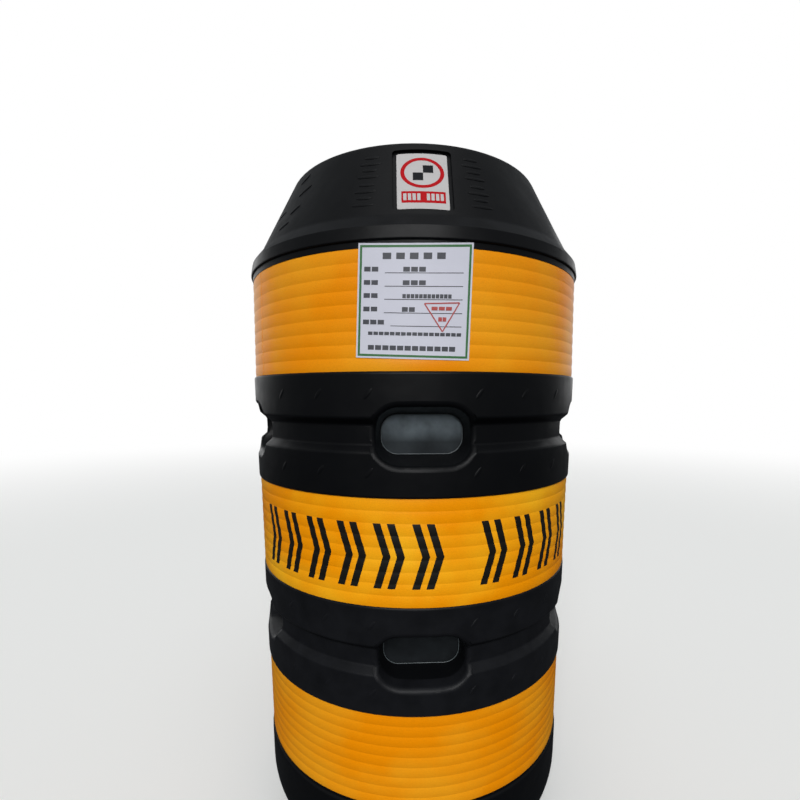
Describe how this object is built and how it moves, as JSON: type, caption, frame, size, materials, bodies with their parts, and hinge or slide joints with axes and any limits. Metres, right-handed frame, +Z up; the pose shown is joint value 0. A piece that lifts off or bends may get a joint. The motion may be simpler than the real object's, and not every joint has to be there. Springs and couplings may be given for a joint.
{
  "type": "warning bollard",
  "caption": "Round moulded plastic bollard with a cone top and flared rim, reflective bands, and grooved black belts with deep rounded pockets.",
  "frame": {"origin": "centre of the base, at ground level", "axes": "+Z up the bollard's axis; the pocket, sign recess and card that face the viewer are at -Y; +X to the viewer's right"},
  "size_m": [0.65, 0.65, 1.3],
  "materials": {
    "black_polyethylene": "moulded, fine grain, slight sheen",
    "reflective_film": "amber retro-reflective film, satin",
    "sign_plate": "white, printed red ring and bar",
    "card": "white coated paper, thin green border"
  },
  "bodies": {
    "root": {"body": "black_polyethylene", "film_lower": "reflective_film", "film_middle": "reflective_film", "film_upper": "reflective_film", "sign_plate": "sign_plate", "card": "card"}
  },
  "joints": []
}
